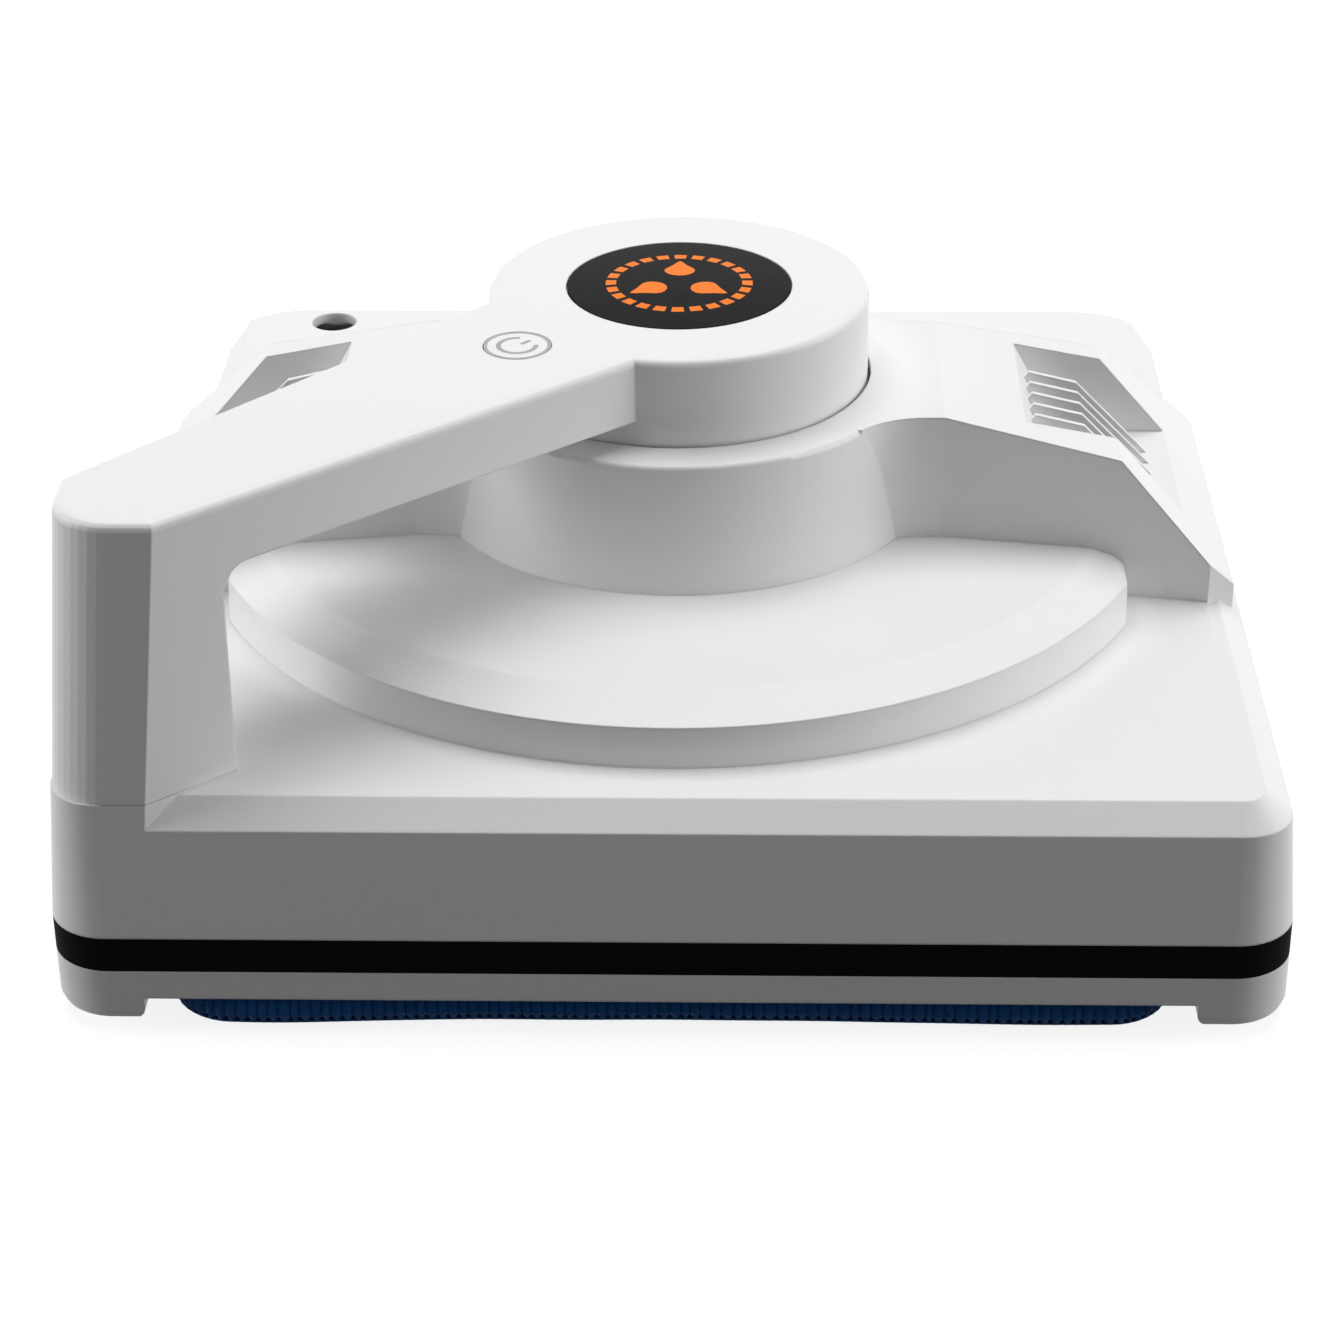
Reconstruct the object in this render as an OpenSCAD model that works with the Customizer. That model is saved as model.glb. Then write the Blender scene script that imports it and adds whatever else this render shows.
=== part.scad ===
// Window cleaning robot: a square suction body on two tracks, with a carrying handle from hub to corner.
// X points right, Y points to the back and Z points up. The glass, or the table, is the plane Z = 0.

/* [Body] */
// Width and depth of the body at the black band
body_w = 240; // [236:1:260]
// Radius of the upright corners
corner_r = 12; // [9:0.5:14]
// Lean of the side walls in degrees
side_lean = 4.6; // [3:0.1:5.5]
// Wall of the white shells
wall = 2.4; // [1.8:0.1:2.8]
// Underside of the corner feet above the glass
foot_z = 1.8; // [1:0.1:2.2]
// Underside of the lower frame above the glass
frame_z = 7; // [6.8:0.1:7.4]
// Height of the lower frame
frame_h = 6.3; // [6:0.1:7]
// Height of the black band
band_h = 7.4; // [6:0.1:8]
// Depth of the black band, inwards
band_d = 5; // [4:0.1:6]
// Height of the front deck above the glass
deck_z = 48.6; // [47:0.1:50]
// Height of the rear deck above the glass
rear_deck_z = 52; // [51:0.1:53]
// Height of the bevel round the decks
bevel_h = 4.8; // [4:0.1:5.4]
// Width of the bevel round the decks
bevel_w = 5.4; // [4.5:0.1:6.5]
// Half width of the rear body at the height where its bevel starts
rear_side_x = 113.4; // [112:0.1:116]
// Half width of the rear deck
rear_deck_x = 107.6; // [106:0.1:110]
// Radius of the rear deck's corners
rear_corner_r = 19.5; // [19.5:0.5:22]
// Distance of the middle of a rear corner from the middle of the body's corner, each way
rear_corner_d = 15; // [14:0.5:16]
// Side of a corner foot
foot_w = 18.5; // [15:0.5:20]
// Rounding of a foot's lower inner edges
foot_round = 3; // [1:0.25:4]
// Rounding of a foot's lower outer edges
foot_edge = 2; // [1:0.25:3]

/* [Crescent step] */
// Radius of the step where it meets the deck
step_r = 102; // [99:0.5:103]
// Lean of the step's outer wall, inwards
step_lean = 0.8; // [0.4:0.1:1.5]
// Height of the step's outer wall
step_wall_h = 8.4; // [8:0.1:9.5]
// Height of the bevel on top of the wall
step_bevel_h = 2.9; // [2:0.1:4]
// Width of that bevel
step_bevel_w = 10.2; // [8:0.1:12]
// Half length of the step, from the middle to its end
step_end_x = 92.5; // [88:0.5:95]
// Width of the bevel at each end
step_end_bevel = 4; // [2:0.5:6]

/* [Cone and collar] */
// Radius of the cone at the top of the step
cone_r = 52.6; // [51:0.1:55]
// Radius of the collar at the top of the cone
collar_r = 49.3; // [48:0.1:50.5]
// Height of the collar above the glass
collar_z = 87.1; // [86:0.1:88.5]
// Rounding of the collar's outer edge
collar_edge = 1.2; // [0.6:0.1:1.6]

/* [Plateau with the vents] */
// Distance from the middle to where the top starts to fall
top_flat_x = 55; // [53:0.5:58]
// Distance from the middle to the bend
bend_x = 91; // [89:0.5:93]
// Height of the bend above the glass
bend_z = 80.2; // [79:0.1:81.5]
// Height of the shoulder where the slope meets the side
shoulder_z = 51; // [50.8:0.1:52]
// Distance of the shoulder behind the side of the body
side_inset = 1.4; // [0.4:0.1:1.6]
// Distance of the front wall from the middle line, at the cone
front_wall_y = 25.5; // [24.5:0.1:27]
// The same at the side of the body
front_side_y = 36; // [34:0.5:38]
// Distance of the rear wall from the middle line, at the cone
rear_wall_y = 24.5; // [24:0.1:26]
// Distance of the rear wall at the bend
rear_bend_y = 27.4; // [26.5:0.1:28.5]
// Distance of the rear wall at the side of the body
rear_side_y = 50; // [46:0.5:54]
// Radius of the hollow corner between the cone and the walls
cone_blend_r = 18; // [10:0.5:18]
// Corner cut where the front wall meets the side
side_cut = 6; // [4:0.5:7]
// Depth of the shallow ramp in front of the front wall
ramp_d = 16; // [12:0.5:20]
// Rise of that ramp
ramp_h = 0.9; // [0.5:0.1:1.5]

/* [Vents] */
// Distance from the middle to the inner edge of a vent
vent_x = 72; // [71:0.5:74]
// Slope of the inner wall, as a length
vent_lean = 4; // [3:0.5:5]
// Height over which that wall slopes
vent_lean_h = 7; // [6:0.5:8]
// Half length of a vent
vent_half_y = 20.2; // [19.5:0.1:20.6]
// Height of the vent floor above the glass
vent_floor_z = 63; // [62:0.5:65]
// Thickness of a louvre
louvre_t = 1.3; // [1:0.1:1.6]
// Spacing of the louvres
louvre_pitch = 5.5; // [5.2:0.1:5.8]
// Number of louvres
louvre_n = 5; // [3:1:5]
// Distance of the rearmost louvre from the rear end of the vent
louvre_first = 10.2; // [9:0.1:11]
// Depth of the louvre tops below the plateau
louvre_sink = 2; // [1.5:0.1:3]
// Distance from the middle to a louvre's bend
louvre_bend_x = 85; // [83:0.5:86]
// Distance from the middle to a louvre's outer end
louvre_end_x = 101; // [99:0.5:102]

/* [Handle] */
// Radius of the hub
hub_r = 39.8; // [38.8:0.1:40.2]
// Height of the handle's top above the glass
handle_z = 105.8; // [104.5:0.1:107]
// Rounding of the handle's top edges
handle_edge = 1.6; // [1.4:0.1:2.4]
// Thickness of the arm from top to underside
arm_t = 13.5; // [12.5:0.1:14.5]
// Half width of the arm at the middle of the hub
arm_root_hw = 24.2; // [23:0.1:25]
// Half width of the arm at the corner of the body
arm_tip_hw = 12.6; // [11.5:0.1:13.5]
// Distance of the post's inner face from the middle of the hub
post_s = 132; // [129:0.5:135]
// Rounding under the arm at the post
post_blend_r = 6; // [4:0.5:8]
// Height of the seam under the post above the front deck
post_seam_h = 0.5; // [0.3:0.1:1]
// Gap round the hub in the collar
hub_gap = 0.7; // [0.5:0.1:1]
// Depth of the hub inside the collar
hub_sink = 6; // [5:0.1:7]

/* [Badge and button] */
// Radius of the black disc on the hub
badge_r = 23.4; // [22:0.1:24.5]
// Height of the disc's dome over the hub
badge_dome = 0.7; // [0.4:0.1:1]
// Thickness of the disc in its recess
badge_t = 1.2; // [0.8:0.1:1.4]
// Radius of the power button
button_r = 6.7; // [6:0.1:7]
// Distance of the button from the middle of the hub
button_s = 45.2; // [44:0.1:47]
// Travel of the button
button_travel = 0.5; // [0.3:0.1:0.7]
// Gap round the button
button_gap = 0.3; // [0.2:0.05:0.35]

/* [Power inlet] */
// Radius of the hole in the rear deck
inlet_r = 5.4; // [5:0.1:5.8]
// Distance of the hole from the middle, sideways
inlet_x = 87; // [84:0.5:89]
// Distance of the hole from the middle, to the back
inlet_y = 105.5; // [103:0.5:106]
// Radius of the plug's bore in the socket
socket_bore_r = 2.8; // [2.5:0.1:3.2]

/* [Cleaning cloth] */
// Thickness of the cloth pad
cloth_t = 6.7; // [6:0.1:6.7]
// Half width of the cloth pad
cloth_half = 118; // [116:0.5:118.5]
// Half length of each straight side of the cloth pad
cloth_side = 97.5; // [90:0.5:98]
// Half width of the opening in the cloth pad
cloth_open = 78; // [76:0.5:82]
// Corner radius of the cloth pad's four sides
cloth_corner_r = 12; // [4:0.5:16]
// Rounding of the cloth pad's edges
cloth_edge = 2.9; // [2:0.1:3]
// Thickness of the hook strips
hook_t = 1; // [0.8:0.1:1.2]

/* [Tracks] */
// Distance of each track from the middle
track_x = 52; // [51:0.5:53]
// Width of a belt
belt_w = 22; // [20:0.5:22.5]
// Radius round the outside of the belt at its wheels
belt_r = 15.5; // [15:0.1:16]
// Thickness of the belt without its tread
belt_t = 1.7; // [1.5:0.1:2]
// Height of the tread bars
tread_h = 0.8; // [0.5:0.1:1]
// Half distance between the two wheels of a track
wheel_y = 52; // [50:0.5:53]
// Number of tread bars along each straight run
tread_n = 20; // [16:1:22]
// Radius of the drive shafts
shaft_r = 3; // [2.5:0.1:3.2]
// Radius of the idler pins
pin_r = 2; // [1.8:0.1:2.4]
// Running clearance on pins and shafts, radial
run_gap = 0.08; // [0.05:0.01:0.1]
// Radius of the travel motors
drive_motor_r = 9.5; // [9:0.5:10]
// Length of the travel motors
drive_motor_l = 40; // [34:1:44]

/* [Suction fan] */
// Radius of the suction duct's bore
duct_r = 22; // [20:0.5:23]
// Radius of the impeller
impeller_r = 36; // [34:0.5:36.5]
// Number of impeller blades
blade_n = 9; // [7:1:11]
// Thickness of a blade
blade_t = 1.4; // [1.2:0.1:1.8]
// Inner radius of the fan housing
fan_r = 40; // [39.5:0.1:41]
// Radius of the fan motor
fan_motor_r = 18; // [16:0.5:19]
// Length of the fan motor
fan_motor_l = 20; // [18:0.5:22]
// Radius of the fan shaft
fan_shaft_r = 2; // [1.8:0.1:2.4]

/* [Electronics] */
// Width of the main board
board_w = 118; // [110:1:124]
// Depth of the main board
board_d = 28; // [24:1:30]
// Thickness of the circuit boards
board_t = 1.6; // [1:0.1:2]
// Radius of a battery cell
cell_r = 7.1; // [6.8:0.1:7.2]
// Length of a battery cell
cell_l = 50; // [46:1:52]

/* [Fasteners] */
// Radius of a screw's shank
screw_r = 1.5; // [1.3:0.1:1.6]
// Radius of a screw's head
screw_head_r = 2.8; // [2.6:0.1:3]
// Height of a screw's head
screw_head_h = 1.7; // [1.5:0.1:1.8]
// Length of a screw below its head
screw_l = 10; // [8:0.5:11]
// Radius of a screw boss
boss_r = 4; // [3.6:0.1:4.4]
// Clearance between pieces that lie beside each other
fit_gap = 0.3; // [0.2:0.05:0.35]

/* [Hidden] */

// Overrun of cuts, and the thickness of a slice in a blend
ov = 0.5;
slice = 0.02;
$fn = 96;
blend_fn = 40;

// Body
half = body_w / 2;
lean = tan(side_lean);
band_z = frame_z + frame_h;
shell_z = band_z + band_h;
bevel_z = deck_z - bevel_h;
corner_mid = half - corner_r;
rear_corner_mid = corner_mid - rear_corner_d;
rear_low_r = rear_corner_d * sqrt(2) + corner_r;
frame_rim_d = 12;
frame_ledge_d = 4;
base_t = 3;
base_top = frame_z + base_t;
base_half = half - frame_rim_d;
foot_corner_r = foot_w / 4;
foot_bite = foot_edge * (1 - sin(45));
function half_at(z) = half - (z - shell_z) * lean;

// Crescent step, cone and plateau
step_top_z = deck_z + step_wall_h + step_bevel_h;
step_in_r = step_r - step_lean - step_bevel_w;
side_x = half_at(shoulder_z) - side_inset;
slope_run = side_x - bend_x;
slope = (bend_z - shoulder_z) / slope_run;
front_slope = (front_side_y - front_wall_y) / (half - top_flat_x);
function front_y(x) = front_wall_y + max(x - top_flat_x, 0) * front_slope;
function top_at(x) = x < top_flat_x ? collar_z
  : x < bend_x ? collar_z - (collar_z - bend_z) * (x - top_flat_x) / (bend_x - top_flat_x)
  : bend_z - (x - bend_x) * slope;
side_out_x = half + wall;

// Handle
corner_s = half * sqrt(2);
arm_z = handle_z - arm_t;
hub_z = collar_z - hub_sink;
post_z = deck_z + post_seam_h;
cover_top_in = handle_z - wall;
handle_base_t = 2;
edge_steps = 3;
dome_steps = 8;
hub_open_r = hub_r + hub_gap;
ledge_t = 2.4;
ledge_z = hub_z - ledge_t;
ledge_in_r = 26;
badge_seat_t = badge_t + fit_gap;

// Button
button_flange = 1.2;
button_flange_t = 1.2;
switch_h = 3.4;
switch_r = 3.4;
button_x = -button_s / sqrt(2);
button_low_z = cover_top_in - fit_gap - button_flange_t;
switch_top_z = button_low_z - 2 * fit_gap - button_travel;
switch_z = switch_top_z - switch_h;
button_board_z = switch_z - board_t;
button_board_r = 9;

// Tracks
wheel_r = belt_r - belt_t - tread_h - fit_gap;
wheel_z = belt_r;
wheel_w = belt_w - 2 * tread_h;
plate_t = 2;
plate_gap = 0.6;
plate_in = belt_w / 2 + plate_gap;
slot_half_y = wheel_y + belt_r + 2 * plate_gap;
slot_half_x = plate_in - fit_gap;
bridge_t = 2;
bridge_z = 2 * belt_r + plate_gap;
plate_half_y = wheel_y + 3 * pin_r + bridge_t;
gearbox_w = 2 * drive_motor_r;
gearbox_d = 28;
gearbox_h = 26;
gearbox_x = track_x + plate_in + plate_t + fit_gap;
tread_w = 2.4;

// Fan
duct_t = 2;
fan_z = 50;
fan_floor_t = 2;
fan_wall = 2;
fan_h = 23;
fan_lid_t = 2.2;
fan_top_z = fan_z + fan_h;
impeller_z = fan_z + fan_floor_t + 2;
impeller_h = 16;
impeller_plate_t = 1.6;
impeller_hub_r = 8;
impeller_eye_r = 17;
fan_leg_r = 3.4;
fan_leg_s = 35.5;
fan_motor_z = fan_top_z + fan_lid_t;
outlet_half_y = 16;
outlet_low = 4;
outlet_h = 15;
exhaust_t = 1.4;
exhaust_gap = 0.3;
driver_board_r = 24;

// Vent pocket
pocket_wall = 1.8;
mouth_h = 6;

// Fasteners and small places, as distances from the middle
base_screw_in = 16;
boss_hole_r = screw_r + run_gap;
shank_hole_r = screw_r + 2 * run_gap;
head_hole_r = screw_head_r + fit_gap;
head_sink = 2;
hub_screw_s = 31;
hub_boss_h = 12;
hub_boss_r = 3.6;
base_screw_places = [for (sx = [-1, 1], sy = [-1, 1]) [sx * (half - base_screw_in), sy * (half - base_screw_in)]];
mid_screw_shares = [-0.35, 0.55];
mid_screw_places = [for (sx = [-1, 1], f = mid_screw_shares) [sx * (half - base_screw_in), f * half]];
screw_places = concat(base_screw_places, mid_screw_places);
hub_angles = [100, 160, 280];
fan_leg_angles = [90, 210, 330];
handle_screw_s = [62, 112];

// Colours
white = "#f3f3f2";
pale = "#e2e2e1";
black = "#161616";
blue = "#1b3f86";
grey = "#8f9296";
steel = "#b9bcc0";
green = "#1d6b3c";

// Plain shapes

// A rectangle with round corners, a and b are half its sides
module round_rect(a, b, r) {
  square([2 * a, 2 * (b - r)], center = true);
  square([2 * (a - r), 2 * b], center = true);
  for (sx = [-1, 1], sy = [-1, 1])
    translate([sx * (a - r), sy * (b - r)]) circle(r);
}

module round_square(h, r) {
  round_rect(h, h, r);
}

// A thin slice of such a square at height z
module level(z, h, r) {
  translate([0, 0, z]) linear_extrude(slice) round_square(h, r);
}

// A square ring between two heights
module square_ring(z0, z1, h_out, h_in, r) {
  translate([0, 0, z0]) linear_extrude(z1 - z0) difference() {
    round_square(h_out, r);
    round_square(h_in, max(r - (h_out - h_in), wall));
  }
}

// A box from its lowest to its highest corner
module box(a, b) {
  translate(a) cube(b - a);
}

// A profile drawn in X and Z, extruded along Y from y0 to y1
module along_y(y0, y1) {
  translate([0, y1, 0]) rotate([90, 0, 0]) linear_extrude(y1 - y0) children();
}

module both_sides() {
  children();
  mirror([1, 0, 0]) children();
}

module post_hole(r, z0, z1) {
  translate([0, 0, z0]) cylinder(r = r, h = z1 - z0);
}

// A screw with its head down at height z and its shank pointing up
module screw_up(z) {
  translate([0, 0, z]) cylinder(r = screw_head_r, h = screw_head_h);
  translate([0, 0, z + screw_head_h]) cylinder(r = screw_r, h = screw_l);
}

// Upper shell

// A block with leaning sides and round corners: half its side and the height of each level
module leaning_block(levels, mid) {
  n = len(levels) - 1;
  outline = concat(
    [for (i = [0 : n]) [levels[i][0], levels[i][1]]],
    [for (i = [n : -1 : 0]) [-levels[i][0], levels[i][1]]]);
  along_y(-mid, mid) polygon(outline);
  rotate([0, 0, 90]) along_y(-mid, mid) polygon(outline);
  for (sx = [-1, 1], sy = [-1, 1], i = [0 : n - 1])
    translate([sx * mid, sy * mid, levels[i][1]])
      cylinder(r1 = levels[i][0] - mid, r2 = levels[i + 1][0] - mid, h = levels[i + 1][1] - levels[i][1]);
}

// The block of the body with its bevelled deck, drawn in by inset
module deck_block(inset, top_z, bevel) {
  low = inset > 0 ? shell_z - ov : shell_z;
  h = half_at(bevel_z) - inset;
  leaning_block([[half_at(low) - inset, low], [h, bevel_z], [h - bevel, top_z - inset]], corner_mid);
}

// Cross section of the rear body, in X and Z
module rear_profile(inset) {
  polygon([
    [-half + inset, shell_z - ov], [-rear_side_x + inset, bevel_z], [-rear_deck_x + inset, rear_deck_z],
    [rear_deck_x - inset, rear_deck_z], [rear_side_x - inset, bevel_z], [half - inset, shell_z - ov]]);
}

// What is left of the rear body at its corners, which are rounder towards the deck
module rear_corner_block(inset) {
  bevel_r = rear_corner_r + bevel_w;
  box([-rear_corner_mid, 0, 0], [rear_corner_mid, side_out_x, handle_z]);
  box([-side_out_x, 0, 0], [side_out_x, rear_corner_mid, handle_z]);
  for (sx = [-1, 1]) translate([sx * rear_corner_mid, rear_corner_mid, bevel_z]) {
    mirror([0, 0, 1]) cylinder(r1 = bevel_r - inset, r2 = rear_low_r - inset, h = bevel_z - shell_z + ov);
    cylinder(r1 = bevel_r - inset, r2 = rear_corner_r - inset, h = rear_deck_z - bevel_z + ov);
  }
}

// Both decks: the rear one is higher, and the body is narrower there
module decks(inset) {
  intersection() {
    deck_block(inset, deck_z, bevel_w);
    box([-half, -half, 0], [half, rear_side_y - inset, handle_z]);
  }
  intersection() {
    deck_block(inset, rear_deck_z, bevel_w);
    along_y(inset, half) rear_profile(inset);
    rear_corner_block(inset);
  }
}

module crescent(inset) {
  x = step_end_x - inset;
  top = step_top_z - inset;
  foot = bevel_z - inset;
  intersection() {
    rotate_extrude() polygon([
      [0, foot], [step_r - inset, foot], [step_r - inset, deck_z],
      [step_r - step_lean - inset, top - step_bevel_h], [step_in_r - inset, top], [0, top]]);
    along_y(-half, 0) polygon([
      [-x, foot], [x, foot], [x, top - step_bevel_h], [x - step_end_bevel, top],
      [-x + step_end_bevel, top], [-x, top - step_bevel_h]]);
  }
}

module cone_form(inset) {
  top = collar_z - inset;
  rotate_extrude() difference() {
    polygon([
      [0, bevel_z - inset], [cone_r - inset, bevel_z - inset], [cone_r - inset, step_top_z],
      [collar_r - inset, top - collar_edge], [collar_r - inset, top], [0, top]]);
    translate([collar_r - inset - collar_edge, top - collar_edge]) difference() {
      square(collar_edge + ov);
      circle(collar_edge);
    }
  }
}

// One hollow corner between the cone and a wall at distance y from the middle line
module blend_corner(y) {
  d = collar_r + cone_blend_r;
  cy = y + cone_blend_r;
  cx = sqrt(d * d - cy * cy);
  f = collar_r / d;
  difference() {
    polygon([[0, 0], [cx * f, cy * f], [cx, cy], [cx, 0]]);
    translate([cx, cy]) circle(cone_blend_r);
  }
}

// Outline of the right half of the plateau, drawn in by inset
module plateau_plan(inset) {
  x1 = side_out_x;
  fy = front_wall_y - inset;
  polygon([
    [0, -fy], [top_flat_x, -fy], [side_x - side_cut - inset, -front_y(side_x - side_cut) + inset],
    [side_x - inset, -front_y(side_x) + inset + side_cut],
    [x1, -front_y(side_x) + inset + side_cut], [x1, rear_side_y - inset],
    [bend_x + (rear_side_y - rear_bend_y), rear_side_y - inset], [bend_x, rear_bend_y - inset],
    [top_flat_x, rear_wall_y - inset], [0, rear_wall_y - inset]]);
  if (inset == 0) {
    mirror([0, 1]) blend_corner(front_wall_y);
    blend_corner(rear_wall_y);
  }
}

// Side profile of the plateau, in X and Z
module plateau_profile(inset) {
  polygon([
    [0, bevel_z - inset], [side_x - inset, bevel_z - inset], [side_x - inset, shoulder_z - inset],
    [bend_x - inset / 2, bend_z - inset], [top_flat_x, collar_z - inset], [0, collar_z - inset]]);
}

module plateau(inset) {
  intersection() {
    along_y(-half, half) plateau_profile(inset);
    linear_extrude(handle_z) plateau_plan(inset);
  }
}

// The space of a vent, open at the top and to the side
module vent_space() {
  along_y(-vent_half_y, vent_half_y) polygon([
    [vent_x - vent_lean, handle_z], [vent_x, top_at(vent_x)],
    [vent_x + vent_lean, top_at(vent_x) - vent_lean_h], [vent_x + vent_lean, vent_floor_z],
    [side_out_x, vent_floor_z], [side_out_x, handle_z]]);
}

module vent_pocket() {
  intersection() {
    plateau(0);
    along_y(-vent_half_y - pocket_wall, vent_half_y + pocket_wall) polygon([
      [vent_x - pocket_wall, vent_floor_z - pocket_wall], [side_x, vent_floor_z - pocket_wall],
      [side_x, collar_z], [vent_x - pocket_wall, collar_z]]);
  }
}

module louvres() {
  for (i = [0 : louvre_n - 1])
    let (y = vent_half_y - louvre_first - i * louvre_pitch)
      along_y(y - louvre_t / 2, y + louvre_t / 2) polygon([
        [vent_x, vent_floor_z - slice], [vent_x, top_at(vent_x) - louvre_sink - vent_lean],
        [vent_x + vent_lean - louvre_t, top_at(vent_x) - louvre_sink],
        [louvre_bend_x, top_at(louvre_bend_x) - louvre_sink],
        [louvre_end_x, vent_floor_z], [louvre_end_x, vent_floor_z - slice]]);
}

// The way from the exhaust duct through the inner wall of the vent
module vent_mouth() {
  z0 = vent_floor_z + fit_gap;
  box([vent_x - pocket_wall - ov, -outlet_half_y, z0],
    [vent_x + vent_lean + ov, outlet_half_y, z0 + mouth_h]);
}

module shallow_ramp() {
  y0 = -front_y(bend_x);
  intersection() {
    translate([step_end_x - side_cut, 0, 0]) rotate([90, 0, 90])
      linear_extrude(side_x - step_end_x)
      polygon([[y0 - ramp_d, deck_z], [y0, deck_z + ramp_h], [y0 + side_cut, deck_z + ramp_h],
        [y0 + side_cut, bevel_z], [y0 - ramp_d, bevel_z]]);
    deck_block(0, 2 * deck_z - bevel_z, bevel_w);
  }
}

// The corner under the post keeps its full width up to the seam
module post_foot() {
  intersection() {
    leaning_block([[half_at(bevel_z - bevel_h), bevel_z - bevel_h], [half_at(post_z), post_z]], corner_mid);
    translate([0, 0, bevel_z - bevel_h]) linear_extrude(post_z) post_plan();
  }
}

module screw_bosses() {
  for (p = screw_places)
    translate([p[0], p[1], 0])
      post_hole(boss_r, band_z, (p[1] > 0 ? rear_deck_z : deck_z) - wall + slice);
}

module upper_shell() {
  color(white) difference() {
    union() {
      difference() {
        union() {
          decks(0);
          crescent(0);
          cone_form(0);
          both_sides() plateau(0);
          both_sides() shallow_ramp();
          post_foot();
        }
        decks(wall);
        crescent(wall);
        cone_form(wall);
        both_sides() plateau(wall);
      }
      both_sides() vent_pocket();
      screw_bosses();
      translate([0, 0, ledge_z]) difference() {
        cylinder(r = collar_r - slice, h = ledge_t);
        translate([0, 0, -ov]) cylinder(r = ledge_in_r, h = ledge_t + 2 * ov);
      }
    }
    both_sides() vent_space();
    both_sides() vent_mouth();
    post_hole(hub_open_r, hub_z, handle_z);
    translate([-inlet_x, inlet_y, 0]) post_hole(inlet_r, deck_z - bevel_h, rear_deck_z + ov);
    for (p = screw_places)
      translate([p[0], p[1], 0]) post_hole(boss_hole_r, band_z - ov, band_z + screw_l);
    for (a = hub_angles) rotate([0, 0, a])
      translate([hub_screw_s, 0, 0]) post_hole(shank_hole_r, ledge_z - ov, hub_z + ov);
  }
  color(white) both_sides() louvres();
}

// Handle

// Outline of the arm from the hub to the corner, drawn in by inset
module arm_strip(inset, s0) {
  rotate([0, 0, 225]) polygon([
    [s0, inset - arm_hw(s0)], [corner_s, inset - arm_tip_hw], [corner_s, arm_tip_hw - inset],
    [s0, arm_hw(s0) - inset]]);
}

function arm_hw(s) = arm_root_hw + (arm_tip_hw - arm_root_hw) * s / corner_s;

module arm_plan(z, inset, s0) {
  intersection() {
    arm_strip(inset, s0);
    round_square(half_at(z) - inset, corner_r - inset / 2);
  }
}

module arm_level(z, inset, s0) {
  translate([0, 0, z]) linear_extrude(slice) arm_plan(z, inset, s0);
}

// Outline of the post on the body
module post_plan() {
  intersection() {
    arm_strip(0, post_s);
    square(4 * half, center = true);
  }
}

// The blade from the hub to the corner, with round top edges
module arm_outer() {
  hull() {
    $fn = blend_fn;
    arm_level(post_z, 0, 0);
    for (i = [0 : edge_steps])
      let (a = 90 * i / edge_steps)
        arm_level(handle_z - handle_edge * (1 - sin(a)) - slice, handle_edge * (1 - cos(a)), 0);
  }
}

module arm_inner() {
  hull() {
    $fn = blend_fn;
    arm_level(post_z - ov, wall, 0);
    arm_level(cover_top_in - slice, wall, 0);
  }
}

// A side profile of the arm, in its length and height, extruded across it
module across_arm() {
  rotate([0, 0, 225]) rotate([90, 0, 0]) linear_extrude(2 * half, center = true) children();
}

// The space under the arm, with the hollow corner at the post
module finger_profile() {
  difference() {
    polygon([[-ov, post_z - ov], [post_s, post_z - ov], [post_s, arm_z], [-ov, arm_z]]);
    translate([post_s - post_blend_r, arm_z - post_blend_r]) difference() {
      square(post_blend_r + ov);
      circle(post_blend_r);
    }
  }
}

// What stays solid between the finger space and the inside of the post
module post_wall_profile() {
  polygon([
    [-half, 0], [post_s + wall, 0], [post_s + wall, arm_z + wall],
    [post_s - post_blend_r, arm_z + wall], [post_s - post_blend_r, arm_z - ov], [-half, arm_z - ov]]);
}

module hub_outer() {
  post_hole(hub_r, hub_z, handle_z - handle_edge);
  post_hole(hub_r - handle_edge, hub_z, handle_z);
  rotate_extrude() translate([hub_r - handle_edge, handle_z - handle_edge]) circle(handle_edge);
}

module handle_cover() {
  color(white) difference() {
    union() {
      difference() {
        union() {
          difference() {
            arm_outer();
            across_arm() finger_profile();
          }
          hub_outer();
        }
        post_hole(hub_r - wall, hub_z - ov, cover_top_in);
        difference() {
          arm_inner();
          across_arm() post_wall_profile();
        }
      }
      for (a = hub_angles) rotate([0, 0, a])
        translate([hub_screw_s, 0, 0]) post_hole(hub_boss_r, hub_z, cover_top_in + slice);
      for (s = handle_screw_s) rotate([0, 0, 225])
        translate([s, 0, 0]) post_hole(hub_boss_r, arm_z + handle_base_t, cover_top_in + slice);
    }
    post_hole(badge_r + fit_gap, handle_z - badge_seat_t, handle_z + ov);
    translate([button_x, button_x, 0]) post_hole(button_r + button_gap, cover_top_in - ov, handle_z + ov);
    for (a = hub_angles) rotate([0, 0, a])
      translate([hub_screw_s, 0, 0]) post_hole(boss_hole_r, hub_z - ov, hub_z + screw_l);
    for (s = handle_screw_s) rotate([0, 0, 225])
      translate([s, 0, 0]) post_hole(boss_hole_r, arm_z, cover_top_in - wall / 4);
  }
}

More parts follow.
